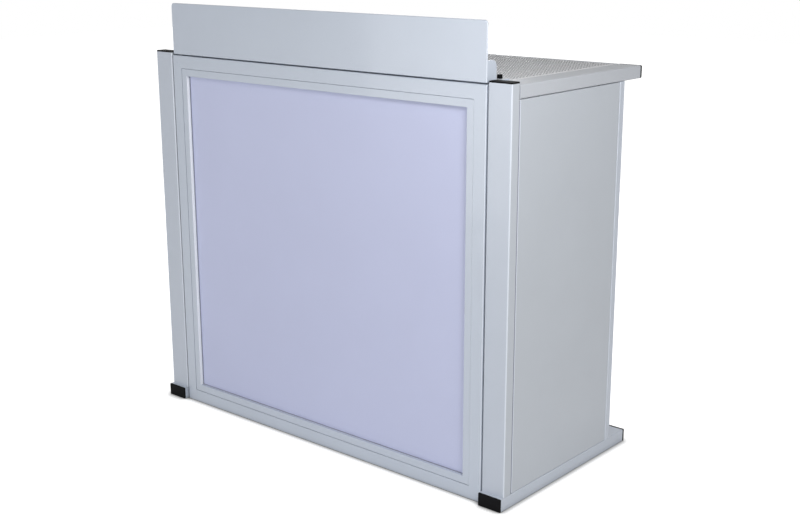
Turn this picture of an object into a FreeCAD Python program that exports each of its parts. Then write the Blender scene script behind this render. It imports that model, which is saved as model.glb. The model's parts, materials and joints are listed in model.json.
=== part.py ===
import FreeCAD, Part
import os
import re
import Sketcher

# Folding DJ booth, in millimetres. +X is to the right seen from the front, -Y is the front, +Z is up.
# Depths in the expressions are counted back from the front faces of the posts.

SIZES = [
    ("overall_width", 1200, "over the two posts"),
    ("post_width", 65, "post, left to right"),
    ("post_depth", 30, "post and front frame, front to back"),
    ("post_rise", 3, "post tubes above the top of the table"),
    ("tube_wall", 2, "wall of all steel tubes"),
    ("tube_corner", 4, "outer corner radius of the large tubes"),
    ("bar_corner", 2.5, "outer corner radius of the small tubes"),
    ("base_height", 33, "base rail"),
    ("base_corner", 2, "outer corner radius of the base rail"),
    ("base_front_reach", 10, "base tube in front of the posts"),
    ("base_rear_end", 546, "rear end of the base tube"),
    ("cap_thickness", 3.5, "visible head of a plug or cap"),
    ("cap_round", 1.2, "edge radius of that head"),
    ("plug_length", 18, "part of a plug inside its tube"),
    ("plug_wall", 2, "wall of that part"),
    ("plug_clearance", 0.2, "fins to the tube"),
    ("fin_height", 1.3, "fins above the plug's core"),
    ("fin_thickness", 1.4, "fins"),
    ("stile_width", 40, "rear stile, left to right"),
    ("stile_depth", 21, "rear stile, front to back"),
    ("stile_rear", 472.5, "rear face of the rear stile"),
    ("bearer_size", 25, "square tube under the table rail"),
    ("pad_thickness", 2, "rubber pads on the bearer"),
    ("pad_radius", 9, "rubber pads on the bearer"),
    ("side_panel_thickness", 4, "side panel"),
    ("side_panel_recess", 0.4, "side panel behind the tubes' outer faces"),
    ("side_panel_gap", 0.8, "side panel to the post and the stile"),
    ("side_panel_foot_gap", 0.2, "side panel to the base rail"),
    ("side_panel_top_gap", 2, "shadow gap under the table rail"),
    ("angle_leg", 14, "angles behind the side panel"),
    ("angle_thickness", 1.5, "angles behind the side panel"),
    ("hinge_gap", 4, "front frame to post"),
    ("frame_drop", 3, "front frame below the top of the table"),
    ("frame_band", 34, "width of the frame's box"),
    ("frame_wall", 2, "frame wall"),
    ("frame_round", 2.5, "front outer edges of the frame"),
    ("lip_width", 18, "lip behind the diffuser"),
    ("lip_thickness", 2, "lip behind the diffuser"),
    ("bezel_gap", 0.8, "groove between frame and bezel"),
    ("bezel_sink", 0.6, "bezel behind the frame's front face"),
    ("bezel_width", 19.2, "bezel"),
    ("bezel_wall", 1.6, "bezel"),
    ("bezel_round", 1, "front edges of the bezel"),
    ("diffuser_recess", 12, "diffuser behind the frame's front face"),
    ("diffuser_thickness", 4, "diffuser"),
    ("diffuser_edge_gap", 2, "diffuser to the frame's box"),
    ("seal_thickness", 1, "seal behind the diffuser"),
    ("seal_width", 10, "seal behind the diffuser"),
    ("key_leg", 70, "corner key"),
    ("key_clearance", 0.2, "corner key in the frame's hollow"),
    ("hinge_length", 80, "hinge"),
    ("hinge_low", 160, "middle of the lowest hinge above the floor"),
    ("hinge_high_drop", 157, "middle of the highest hinge below the frame's top"),
    ("leaf_reach", 32, "hinge leaf from the axis"),
    ("leaf_thickness", 2, "hinge leaf"),
    ("knuckle_radius", 3.5, "hinge knuckle"),
    ("knuckle_gap", 0.4, "between knuckles"),
    ("knuckle_clearance", 0.5, "knuckles behind the posts"),
    ("leaf_gap", 1, "plain part of a leaf beside the other leaf's knuckles"),
    ("pin_radius", 1.75, "hinge pin"),
    ("pin_clearance", 0.05, "pin in the turning knuckles"),
    ("rivet_radius", 2, "rivet shank"),
    ("rivet_head_radius", 4, "rivet head"),
    ("rivet_head_height", 1.4, "rivet head"),
    ("rivet_tail", 2.5, "rivet past the inside of the wall"),
    ("table_height", 999, "top of the table"),
    ("table_rail_height", 32, "table rails"),
    ("table_rail_end", 548.5, "rear end of the table's rails"),
    ("table_front_gap", 0.6, "table behind the posts"),
    ("table_front_depth", 65, "table's front rail"),
    ("table_rear_depth", 20, "table's rear rail"),
    ("sheet_thickness", 2, "perforated sheet"),
    ("sheet_gap", 0.2, "sheet to the rails"),
    ("tray_lip", 15, "folded edge of the sheet"),
    ("hole_radius", 28, "coarse holes of the sheet"),
    ("hole_border", 12, "plain border of the sheet round its field of holes"),
    ("stiffener_size", 20, "square tube under the sheet"),
    ("fascia_height", 136, "fascia"),
    ("fascia_thickness", 3, "fascia"),
    ("fascia_setback", 2, "fascia behind the posts' front faces"),
    ("fascia_side_gap", 1.5, "fascia inside the frame's ends"),
    ("fascia_corner", 9, "top corners of the fascia"),
    ("fascia_bend", 2.4, "outer radius of its folds"),
    ("ear_depth", 36, "ears and flange from the fascia's front face"),
    ("ear_height", 49, "ear above the table"),
    ("ear_corner", 16, "upper rear corner of the ear"),
    ("foot_end", 17, "foot past the thumb screw"),
    ("foot_width", 36, "foot"),
    ("foot_corner", 6, "rear corners of the foot"),
    ("knob_radius", 6.2, "thumb screw"),
    ("knob_height", 9, "thumb screw"),
    ("knob_round", 1, "thumb screw"),
    ("knob_inset", 18, "thumb screw from the end of the fascia"),
    ("knob_setback", 44.4, "thumb screw behind the table's front edge"),
    ("flute_radius", 1, "grip flutes of the thumb screw"),
    ("stud_radius", 3, "thumb screw's stud"),
    ("stud_length", 17, "stud below the knob"),
    ("stud_grip", 5, "stud inside the knob"),
    ("stud_clearance", 0.3, "stud in its holes"),
    ("nut_radius", 6.5, "weld nut"),
    ("nut_height", 8, "weld nut"),
    ("cut_overrun", 5, "cuts past the material"),
]

QUARTER_TURN = 90
BACKWARD = ((1, 0, 0), -QUARTER_TURN)
FORWARD = ((1, 0, 0), QUARTER_TURN)
SIDEWAYS = ((0, 1, 0), QUARTER_TURN)
HINGE_KNUCKLES = 5
FIN_COUNT = 3
FLUTE_COUNT = 12
PAD_SHARES = (0.2, 0.8)
RIVET_SHARES = (-0.25, 0.25)
HOLE_COLUMNS = 12
HOLE_ROWS = 5
STIFFENER_SHARES = (-0.25, 0, 0.25)
MATCH_SHARE = 1e-6

doc = FreeCAD.newDocument("dj_booth")
sheet = doc.addObject("Spreadsheet::Sheet", "sizes")
for row, (alias, number, meaning) in enumerate(SIZES, 1):
    sheet.set(f"A{row}", alias)
    sheet.set(f"B{row}", str(number))
    sheet.set(f"C{row}", meaning)
    sheet.setAlias(f"B{row}", alias)
doc.recompute()

ALIASES = {alias for alias, number, meaning in SIZES}
NODES = {}

# Places that several pieces share
HALF = "(overall_width / 2)"
POST_INNER = f"({HALF} - post_width)"
POST_MIDDLE = f"({HALF} - post_width / 2)"
FRAME_HALF = f"({POST_INNER} - hinge_gap)"
POST_TOP = "(table_height + post_rise)"
FRAME_TOP = "(table_height - frame_drop)"
FRAME_MIDDLE = f"({FRAME_TOP} / 2)"
PIVOT_X = f"({POST_INNER} - hinge_gap / 2)"
PIVOT_Y = "(post_depth + knuckle_radius + knuckle_clearance)"
HINGE_HIGH = f"({FRAME_TOP} - hinge_high_drop)"
HINGE_HEIGHTS = ("hinge_low", f"((hinge_low + {HINGE_HIGH}) / 2)", HINGE_HIGH)
LEAF_START = "(knuckle_radius + leaf_gap)"
RIVET_REACH = f"(({LEAF_START} + leaf_reach) / 2)"
LIP_FRONT = "(diffuser_recess + diffuser_thickness + seal_thickness)"
PANEL_INNER = f"({HALF} - side_panel_recess - side_panel_thickness)"
STILE_FRONT = "(stile_rear - stile_depth)"
RAIL_LOW = "(table_height - table_rail_height)"
BEARER_TOP = f"({RAIL_LOW} - pad_thickness)"
BEARER_LOW = f"({BEARER_TOP} - bearer_size)"
TABLE_FRONT = "(post_depth + table_front_gap)"
SHEET_FRONT = f"({TABLE_FRONT} + table_front_depth)"
SHEET_REAR = "(table_rail_end - table_rear_depth)"
SHEET_LOW = "(table_height - sheet_thickness)"
FASCIA_HALF = f"({FRAME_HALF} - fascia_side_gap)"
FOOT_TOP = "(table_height + fascia_thickness)"
KNOB_X = f"({FASCIA_HALF} - knob_inset)"
KNOB_Y = f"({TABLE_FRONT} + knob_setback)"
FOOT_DEPTH = f"({KNOB_Y} + foot_end - fascia_setback)"
STUD_HOLE = "(stud_radius + stud_clearance)"
REAR = "(max(table_rail_end; base_rear_end) + cap_thickness)"
FRONT = "(base_front_reach + cap_thickness)"
MIDDLE = f"(({REAR} - {FRONT}) / 2)"


def full(text):
    """Expression with every size named by its sheet."""
    return re.sub(r"[a-z_]+", lambda m: f"sizes.{m[0]}" if m[0] in ALIASES else m[0], text)


def value(text):
    return float(sheet.evalExpression(full(text)))


def bind(thing, name, text):
    thing.setExpression(name, full(text))


def place(thing, x, y, z, axis=(0, 0, 1), angle=0):
    """Put a piece at x, y, z, with y counted back from the front of the posts."""
    turn = FreeCAD.Rotation(FreeCAD.Vector(axis), angle)
    thing.Placement = FreeCAD.Placement(FreeCAD.Vector(), turn)
    bind(thing, "Placement.Base.x", x)
    bind(thing, "Placement.Base.y", f"({y}) - {MIDDLE}")
    bind(thing, "Placement.Base.z", z)
    return thing


def node(label, thing):
    thing.Label = label
    NODES[label] = thing
    return thing


def span(side, near, far):
    """Limits along X of a piece that lies between near and far on one side."""
    return (near, far) if side > 0 else (f"-({far})", f"-({near})")


# Sketches and features

def new_body():
    return doc.addObject("PartDesign::Body", "Body")


def sketch_on(body, role, offset="0"):
    sketch = body.newObject("Sketcher::SketchObject", "Sketch")
    plane = next(item for item in body.Origin.OriginFeatures if item.Role == role)
    sketch.AttachmentSupport = [(plane, "")]
    sketch.MapMode = "FlatFace"
    bind(sketch, "AttachmentOffset.Base.z", offset)
    return sketch


def hold(sketch, item, point, x, y):
    """Tie a point of the sketch to two bound distances from the origin."""
    for kind, text in (("DistanceX", x), ("DistanceY", y)):
        number = sketch.addConstraint(Sketcher.Constraint(kind, -1, 1, item, point, value(text)))
        bind(sketch, f"Constraints[{number}]", text)


def outline(sketch, corners):
    """Closed outline of straight lines through corners given as expressions."""
    points = [FreeCAD.Vector(value(x), value(y), 0) for x, y in corners]
    first = sketch.GeometryCount
    count = len(points)
    for index in range(count):
        sketch.addGeometry(Part.LineSegment(points[index], points[(index + 1) % count]), False)
    for index in range(count):
        follower = first + (index + 1) % count
        sketch.addConstraint(Sketcher.Constraint("Coincident", first + index, 2, follower, 1))
    for index, (x, y) in enumerate(corners):
        hold(sketch, first + index, 1, x, y)


def rectangle(sketch, left, right, low, high):
    outline(sketch, [(left, low), (right, low), (right, high), (left, high)])


def centred(sketch, width, depth):
    rectangle(sketch, f"-({width}) / 2", f"({width}) / 2", f"-({depth}) / 2", f"({depth}) / 2")


def circle(sketch, x, y, radius):
    centre = FreeCAD.Vector(value(x), value(y), 0)
    item = sketch.addGeometry(Part.Circle(centre, FreeCAD.Vector(0, 0, 1), value(radius)), False)
    number = sketch.addConstraint(Sketcher.Constraint("Radius", item, value(radius)))
    bind(sketch, f"Constraints[{number}]", radius)
    hold(sketch, item, 3, x, y)


def extrude(body, kind, sketch, length, reverse=False, both=False):
    feature = body.newObject(f"PartDesign::{kind}", kind)
    feature.Profile = sketch
    bind(feature, "Length", length)
    feature.Reversed = reverse
    if both:
        feature.SideType = "Symmetric"
    doc.recompute()
    return feature


def pad(body, sketch, length, reverse=False, both=False):
    return extrude(body, "Pad", sketch, length, reverse, both)


def pocket(body, sketch, length, reverse=False):
    before = body.Tip.Shape.Volume
    feature = extrude(body, "Pocket", sketch, length, reverse)
    if not feature.Shape.Volume < before:
        raise RuntimeError(f"a pocket of {body.Label} removes nothing")
    return feature


def round_edges(body, radius, wanted):
    base = body.Tip
    names = [f"Edge{n}" for n, edge in enumerate(base.Shape.Edges, 1) if wanted(edge)]
    feature = body.newObject("PartDesign::Fillet", "Round")
    feature.Base = (base, names)
    bind(feature, "Radius", radius)
    doc.recompute()
    return feature


def runs_along(edge, axis):
    if edge.Curve.TypeId != "Part::GeomLine":
        return False
    return abs(abs(edge.tangentAt(edge.FirstParameter)[axis]) - 1) < MATCH_SHARE


def near(number, text):
    return abs(number - value(text)) < MATCH_SHARE * value("overall_width")


# Plain solids

def box(x_span, y_span, z_span):
    solid = doc.addObject("Part::Box", "Box")
    for name, (low, high) in zip(("Length", "Width", "Height"), (x_span, y_span, z_span)):
        bind(solid, name, f"({high}) - ({low})")
    return place(solid, x_span[0], y_span[0], z_span[0])


def rod(radius, x, y, z_low, z_high):
    solid = doc.addObject("Part::Cylinder", "Rod")
    bind(solid, "Radius", radius)
    bind(solid, "Height", f"({z_high}) - ({z_low})")
    return place(solid, x, y, z_low)


def rod_back(radius, x, y_low, y_high, z):
    """Rod that runs from front to back."""
    solid = doc.addObject("Part::Cylinder", "Rod")
    bind(solid, "Radius", radius)
    bind(solid, "Height", f"({y_high}) - ({y_low})")
    return place(solid, x, y_low, z, *BACKWARD)


def fuse(solids):
    joined = doc.addObject("Part::MultiFuse", "Fuse")
    joined.Shapes = solids
    joined.Refine = True
    return joined


def cut(solid, tools):
    result = doc.addObject("Part::Cut", "Cut")
    result.Base = solid
    result.Tool = tools[0] if len(tools) == 1 else fuse(tools)
    return result


def group(solids):
    together = doc.addObject("Part::Compound", "Group")
    together.Links = solids
    return together


# Tubes, plugs and framing

def tube(width, depth, length, corner="tube_corner"):
    """Rectangular tube along its own Z, centred on it."""
    body = new_body()
    section = sketch_on(body, "XY_Plane")
    centred(section, width, depth)
    centred(section, f"({width}) - 2 * tube_wall", f"({depth}) - 2 * tube_wall")
    pad(body, section, length)
    round_edges(body, corner, lambda e: runs_along(e, 2) and near(abs(e.CenterOfMass.x), f"({width}) / 2"))
    return body


def plug(label, width, depth, corner="tube_corner"):
    """Black end cap: a head over the tube's end and a finned core inside it. Its own Z points out."""
    inner_width = f"(({width}) - 2 * tube_wall - 2 * plug_clearance)"
    inner_depth = f"(({depth}) - 2 * tube_wall - 2 * plug_clearance)"
    body = new_body()
    head = sketch_on(body, "XY_Plane")
    centred(head, width, depth)
    pad(body, head, "cap_thickness")
    round_edges(body, corner, lambda e: runs_along(e, 2))
    round_edges(body, "cap_round", lambda e: near(e.CenterOfMass.z, "cap_thickness"))
    core = sketch_on(body, "XY_Plane")
    centred(core, f"{inner_width} - 2 * fin_height", f"{inner_depth} - 2 * fin_height")
    shrink = "2 * (fin_height + plug_wall)"
    centred(core, f"{inner_width} - {shrink}", f"{inner_depth} - {shrink}")
    pad(body, core, "plug_length", reverse=True)
    pitch = f"(plug_length / {FIN_COUNT})"
    fin = sketch_on(body, "XY_Plane", f"-{pitch} + fin_thickness")
    centred(fin, inner_width, inner_depth)
    centred(fin, f"{inner_width} - {shrink}", f"{inner_depth} - {shrink}")
    first = pad(body, fin, "fin_thickness", reverse=True)
    rows = body.newObject("PartDesign::LinearPattern", "Fins")
    rows.Originals = [first]
    along = next(item for item in body.Origin.OriginFeatures if item.Role == "Z_Axis")
    rows.Direction = (along, [""])
    rows.Reversed = True
    bind(rows, "Length", f"{pitch} * {FIN_COUNT - 1}")
    rows.Occurrences = FIN_COUNT
    body.Tip = rows
    doc.recompute()
    return node(label, body)


def mitred(corners, hollow, width, length):
    """Strip along its own Z, X inward and Y back, cut at 45 degrees at both ends."""
    body = new_body()
    section = sketch_on(body, "XY_Plane")
    outline(section, corners)
    if hollow:
        rectangle(section, *hollow)
    pad(body, section, length, both=True)
    mitre = sketch_on(body, "XZ_Plane", "cut_overrun")
    for way in ("", "-"):
        end = f"({length}) / 2"
        wide = f"({width}) + cut_overrun"
        outline(mitre, [
            ("-cut_overrun", f"{way}({end} + cut_overrun)"),
            (wide, f"{way}({end} + cut_overrun)"),
            (wide, f"{way}({end} - ({wide}))"),
        ])
    pocket(body, mitre, "post_depth + 2 * cut_overrun")
    return body


FRAME_TURNS = {"top": QUARTER_TURN, "bottom": -QUARTER_TURN, "left": 0, "right": 2 * QUARTER_TURN}


def ring_place(body, where, inset, setback):
    """Set a mitred strip into the front panel, inset from the panel's outline."""
    x, z = {
        "top": ("0", f"{FRAME_TOP} - ({inset})"),
        "bottom": ("0", inset),
        "left": (f"-({FRAME_HALF} - ({inset}))", FRAME_MIDDLE),
        "right": (f"{FRAME_HALF} - ({inset})", FRAME_MIDDLE),
    }[where]
    return place(body, x, setback, z, (0, 1, 0), FRAME_TURNS[where])


def ring_length(where, inset):
    if where in ("top", "bottom"):
        return f"(2 * ({FRAME_HALF} - ({inset})))"
    return f"({FRAME_TOP} - 2 * ({inset}))"


def rivet_heights():
    return [f"({middle} + hinge_length * ({share}))" for middle in HINGE_HEIGHTS for share in RIVET_SHARES]


# Front panel

def front_frame():
    corners = [
        ("0", "0"),
        ("frame_band", "0"),
        ("frame_band", LIP_FRONT),
        ("frame_band + lip_width", LIP_FRONT),
        ("frame_band + lip_width", f"{LIP_FRONT} + lip_thickness"),
        ("frame_band", f"{LIP_FRONT} + lip_thickness"),
        ("frame_band", "post_depth"),
        ("0", "post_depth"),
    ]
    hollow = ("frame_wall", "frame_band - frame_wall", "frame_wall", "post_depth - frame_wall")
    for where in FRAME_TURNS:
        body = mitred(corners, hollow, "frame_band + lip_width", ring_length(where, "0"))
        round_edges(body, "frame_round", lambda e: runs_along(e, 2) and near(e.CenterOfMass.x, "0")
                    and near(e.CenterOfMass.y, "0"))
        if where in ("left", "right"):
            holes = sketch_on(body, "XZ_Plane", "-post_depth")
            way = "" if where == "left" else "-"
            for height in rivet_heights():
                along = f"{way}({height} - {FRAME_MIDDLE})"
                circle(holes, f"{RIVET_REACH} - hinge_gap / 2", along, "rivet_radius")
            pocket(body, holes, "frame_wall", reverse=True)
        node(f"front_frame_{where}", ring_place(body, where, "0", "0"))


def bezels():
    deep = "(diffuser_recess - bezel_sink)"
    corners = [
        ("0", "0"),
        ("bezel_width", "0"),
        ("bezel_width", deep),
        ("bezel_width - bezel_wall", deep),
        ("bezel_width - bezel_wall", "bezel_wall"),
        ("bezel_wall", "bezel_wall"),
        ("bezel_wall", deep),
        ("0", deep),
    ]
    inset = "(frame_band + bezel_gap)"
    for where in FRAME_TURNS:
        body = mitred(corners, None, "bezel_width", ring_length(where, inset))
        round_edges(body, "bezel_round", lambda e: near(e.CenterOfMass.y, "0") and runs_along(e, 2))
        node(f"bezel_{where}", ring_place(body, where, inset, "bezel_sink"))


def corner_keys():
    start = "(frame_wall + key_clearance)"
    wide = "(frame_band - frame_wall - key_clearance)"
    deep = "(post_depth - 2 * (frame_wall + key_clearance))"
    keys = []
    places = ((-1, "0", 0), (1, "0", -1), (1, FRAME_TOP, 2), (-1, FRAME_TOP, 1))
    for side, height, quarters in places:
        body = new_body()
        shape = sketch_on(body, "XZ_Plane")
        outline(shape, [(start, start), ("key_leg", start), ("key_leg", wide), (wide, wide),
                        (wide, "key_leg"), (start, "key_leg")])
        pad(body, shape, deep, reverse=True)
        turn = quarters * QUARTER_TURN
        keys.append(place(body, f"{side} * {FRAME_HALF}", start, height, (0, 1, 0), turn))
    node("frame_corner_keys", group(keys))


def diffuser():
    edge = "(frame_band + diffuser_edge_gap)"
    x_span = (f"-({FRAME_HALF} - {edge})", f"{FRAME_HALF} - {edge}")
    z_span = (edge, f"{FRAME_TOP} - {edge}")
    back = "(diffuser_recess + diffuser_thickness)"
    node("diffuser_panel", box(x_span, ("diffuser_recess", back), z_span))
    inner = f"({edge} + seal_width)"
    ring = box(x_span, (back, LIP_FRONT), z_span)
    hole = box((f"-({FRAME_HALF} - {inner})", f"{FRAME_HALF} - {inner}"),
               (f"{back} - cut_overrun", f"{LIP_FRONT} + cut_overrun"), (inner, f"{FRAME_TOP} - {inner}"))
    node("diffuser_seal", cut(ring, [hole]))


# Hinges between the front panel and a side

def hinge_leaf(side, middle, turning):
    """Leaf with its own share of the knuckles; the turning leaf lies on the post."""
    away = side if turning else -side
    pivot = f"({side} * {PIVOT_X})"
    segment = f"(hinge_length / {HINGE_KNUCKLES})"
    low = f"({middle} - hinge_length / 2)"

    def across(start, stop):
        return span(away, start, stop)

    def at(limits):
        return tuple(f"{pivot} + {text}" for text in limits)

    y_span = ("post_depth", "post_depth + leaf_thickness")
    parts = [box(at(across(LEAF_START, "leaf_reach")), y_span, (low, f"{low} + hinge_length"))]
    for index in range(1 if turning else 0, HINGE_KNUCKLES, 2):
        start = f"{low} + {segment} * {index} + knuckle_gap / 2"
        z_span = (start, f"{start} + {segment} - knuckle_gap")
        parts.append(box(at(across("0", f"{LEAF_START} + leaf_thickness")), y_span, z_span))
        parts.append(rod("knuckle_radius", pivot, PIVOT_Y, *z_span))
    bore = "pin_radius + pin_clearance" if turning else "pin_radius"
    tools = [rod(bore, pivot, PIVOT_Y, f"{low} - cut_overrun", f"{low} + hinge_length + cut_overrun")]
    for share in RIVET_SHARES:
        x = f"{pivot} + {away} * {RIVET_REACH}"
        z = f"{middle} + hinge_length * ({share})"
        tools.append(rod_back("rivet_radius", x, "post_depth - cut_overrun", "post_depth + cut_overrun", z))
    return cut(fuse(parts), tools)


def rivets(side, turning, wall):
    away = side if turning else -side
    x = f"{side} * {PIVOT_X} + {away} * {RIVET_REACH}"
    top = "(post_depth + leaf_thickness)"
    solids = []
    for height in rivet_heights():
        shank = rod_back("rivet_radius", x, f"post_depth - {wall} - rivet_tail", top, height)
        head = rod_back("rivet_head_radius", x, top, f"{top} + rivet_head_height", height)
        solids.append(fuse([shank, head]))
    return group(solids)


def hinges(side, name):
    node(f"{name}_frame_hinge_leaves", group([hinge_leaf(side, z, False) for z in HINGE_HEIGHTS]))
    node(f"{name}_wing_hinge_leaves", group([hinge_leaf(side, z, True) for z in HINGE_HEIGHTS]))
    pins = []
    for middle in HINGE_HEIGHTS:
        ends = (f"{middle} - hinge_length / 2", f"{middle} + hinge_length / 2")
        pins.append(rod("pin_radius", f"{side} * {PIVOT_X}", PIVOT_Y, *ends))
    node(f"{name}_hinge_pins", group(pins))
    node(f"{name}_frame_rivets", rivets(side, False, "frame_wall"))
    node(f"{name}_wing_rivets", rivets(side, True, "tube_wall"))


# Sides

def wing(side, name):
    middle = f"{side} * {POST_MIDDLE}"
    post = tube("post_width", "post_depth", f"{POST_TOP} - base_height")
    holes = sketch_on(post, "XZ_Plane", "-post_depth / 2")
    for height in rivet_heights():
        x = f"{side} * ({PIVOT_X} + {RIVET_REACH} - {POST_MIDDLE})"
        circle(holes, x, f"{height} - base_height", "rivet_radius")
    pocket(post, holes, "tube_wall", reverse=True)
    node(f"{name}_post", place(post, middle, "post_depth / 2", "base_height"))
    place(plug(f"{name}_post_cap", "post_width", "post_depth"), middle, "post_depth / 2", POST_TOP)

    base = tube("post_width", "base_height", "base_front_reach + base_rear_end", "base_corner")
    node(f"{name}_base_rail", place(base, middle, "-base_front_reach", "base_height / 2", *BACKWARD))
    front = plug(f"{name}_base_front_plug", "post_width", "base_height", "base_corner")
    place(front, middle, "-base_front_reach", "base_height / 2", *FORWARD)
    rear = plug(f"{name}_base_rear_plug", "post_width", "base_height", "base_corner")
    place(rear, middle, "base_rear_end", "base_height / 2", *BACKWARD)

    stile = tube("stile_width", "stile_depth", f"{RAIL_LOW} - base_height", "bar_corner")
    node(f"{name}_rear_stile", place(stile, f"{side} * ({HALF} - stile_width / 2)",
                                     "stile_rear - stile_depth / 2", "base_height"))
    bearer = tube("bearer_size", "bearer_size", f"{STILE_FRONT} - post_depth", "bar_corner")
    bearer_x = f"{side} * ({PANEL_INNER} - bearer_size / 2)"
    node(f"{name}_top_bearer", place(bearer, bearer_x, "post_depth", f"{BEARER_TOP} - bearer_size / 2",
                                     *BACKWARD))
    pads = []
    for share in PAD_SHARES:
        along = f"post_depth + ({STILE_FRONT} - post_depth) * {share}"
        pads.append(rod("pad_radius", bearer_x, along, BEARER_TOP, RAIL_LOW))
    node(f"{name}_table_pads", group(pads))
    side_panel(side, name)


def side_panel(side, name):
    y_span = ("post_depth + side_panel_gap", f"{STILE_FRONT} - side_panel_gap")
    z_span = ("base_height + side_panel_foot_gap", f"{RAIL_LOW} - side_panel_top_gap")
    x_span = span(side, PANEL_INNER, f"{PANEL_INNER} + side_panel_thickness")
    node(f"{name}_side_panel", box(x_span, y_span, z_span))

    leg = span(side, f"{PANEL_INNER} - angle_leg", PANEL_INNER)
    skin = span(side, f"{PANEL_INNER} - angle_thickness", PANEL_INNER)
    upright = ("base_height", BEARER_LOW)
    front = fuse([box(leg, ("post_depth", "post_depth + angle_thickness"), upright),
                  box(skin, ("post_depth", "post_depth + angle_leg"), upright)])
    rear = fuse([box(leg, (f"{STILE_FRONT} - angle_thickness", STILE_FRONT), upright),
                 box(skin, (f"{STILE_FRONT} - angle_leg", STILE_FRONT), upright)])
    between = ("post_depth + angle_leg", f"{STILE_FRONT} - angle_leg")
    low = fuse([box(leg, between, ("base_height", "base_height + angle_thickness")),
                box(skin, between, ("base_height", "base_height + angle_leg"))])
    node(f"{name}_panel_angles", group([front, rear, low]))


# Table

def table():
    rail_middle = f"{RAIL_LOW} + table_rail_height / 2"
    for side, name in ((1, "right"), (-1, "left")):
        rail = tube("post_width", "table_rail_height", f"table_rail_end - {TABLE_FRONT}")
        middle = f"{side} * {POST_MIDDLE}"
        node(f"{name}_table_rail", place(rail, middle, TABLE_FRONT, rail_middle, *BACKWARD))
        cap = plug(f"{name}_table_rail_cap", "post_width", "table_rail_height")
        place(cap, middle, "table_rail_end", rail_middle, *BACKWARD)

    front = tube("table_rail_height", "table_front_depth", f"2 * {POST_INNER}")
    holes = sketch_on(front, "YZ_Plane", "-table_rail_height / 2")
    for side in (1, -1):
        along = f"{POST_INNER} + {side} * {KNOB_X}"
        circle(holes, "knob_setback - table_front_depth / 2", along, STUD_HOLE)
    pocket(front, holes, "tube_wall", reverse=True)
    front_middle = f"{TABLE_FRONT} + table_front_depth / 2"
    node("table_front_rail", place(front, f"-{POST_INNER}", front_middle, rail_middle, *SIDEWAYS))
    rear = tube("table_rail_height", "table_rear_depth", f"2 * {POST_INNER}", "bar_corner")
    rear_middle = f"{SHEET_REAR} + table_rear_depth / 2"
    node("table_rear_rail", place(rear, f"-{POST_INNER}", rear_middle, rail_middle, *SIDEWAYS))

    nuts = []
    for side in (1, -1):
        nut = doc.addObject("Part::Prism", "Nut")
        nut.Polygon = 6
        bind(nut, "Circumradius", "nut_radius")
        bind(nut, "Height", "nut_height")
        top = "(table_height - tube_wall)"
        place(nut, f"{side} * {KNOB_X}", KNOB_Y, f"{top} - nut_height")
        bore = rod(STUD_HOLE, f"{side} * {KNOB_X}", KNOB_Y, f"{top} - nut_height - cut_overrun",
                   f"{top} + cut_overrun")
        nuts.append(cut(nut, [bore]))
    node("table_weld_nuts", group(nuts))
    table_sheet()


def table_sheet():
    """Sheet with its edges folded down, flush with the rails."""
    body = new_body()
    width = f"(2 * ({POST_INNER} - sheet_gap))"
    depth = f"({SHEET_REAR} - {SHEET_FRONT} - 2 * sheet_gap)"
    block = sketch_on(body, "XY_Plane")
    centred(block, width, depth)
    pad(body, block, "tray_lip")
    inside = sketch_on(body, "XY_Plane")
    centred(inside, f"{width} - 2 * sheet_thickness", f"{depth} - 2 * sheet_thickness")
    pocket(body, inside, "tray_lip - sheet_thickness", reverse=True)
    field_width = f"({width} - 2 * hole_border)"
    field_depth = f"({depth} - 2 * hole_border)"
    hole_grid(body, field_width, field_depth)
    node("table_sheet", place(body, "0", f"({SHEET_FRONT} + {SHEET_REAR}) / 2", "table_height - tray_lip"))

    length = f"({SHEET_REAR} - {SHEET_FRONT} - 2 * (sheet_gap + sheet_thickness))"
    bars = []
    for share in STIFFENER_SHARES:
        bar = tube("stiffener_size", "stiffener_size", length, "bar_corner")
        start = f"{SHEET_FRONT} + sheet_gap + sheet_thickness"
        height = f"{SHEET_LOW} - stiffener_size / 2"
        bars.append(place(bar, f"{field_width} * {share}", start, height, *BACKWARD))
    node("table_stiffeners", group(bars))


def hole_grid(body, field_width, field_depth):
    """Round holes in rows and columns, a coarse form of the perforation, with columns clear of the stiffeners."""
    first = sketch_on(body, "XY_Plane", "tray_lip - sheet_thickness")
    across = f"({field_width} * (1 - 1 / {HOLE_COLUMNS}))"
    back = f"({field_depth} * (1 - 1 / {HOLE_ROWS}))"
    circle(first, f"-{across} / 2", f"-{back} / 2", "hole_radius")
    hole = pocket(body, first, "sheet_thickness + cut_overrun", reverse=True)
    row = pattern(body, "X_Axis", across, HOLE_COLUMNS)
    rows = pattern(body, "Y_Axis", back, HOLE_ROWS)
    grid = body.newObject("PartDesign::MultiTransform", "Holes")
    grid.Originals = [hole]
    grid.Transformations = [row, rows]
    body.Tip = grid
    doc.recompute()


def pattern(body, role, length, count):
    """Even row of copies along one of the body's axes, for a grid."""
    line = doc.addObject("PartDesign::LinearPattern", "Row")
    body.addObject(line)
    line.Direction = (next(item for item in body.Origin.OriginFeatures if item.Role == role), [""])
    bind(line, "Length", length)
    line.Occurrences = count
    return line


# Fascia and its thumb screws

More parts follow.
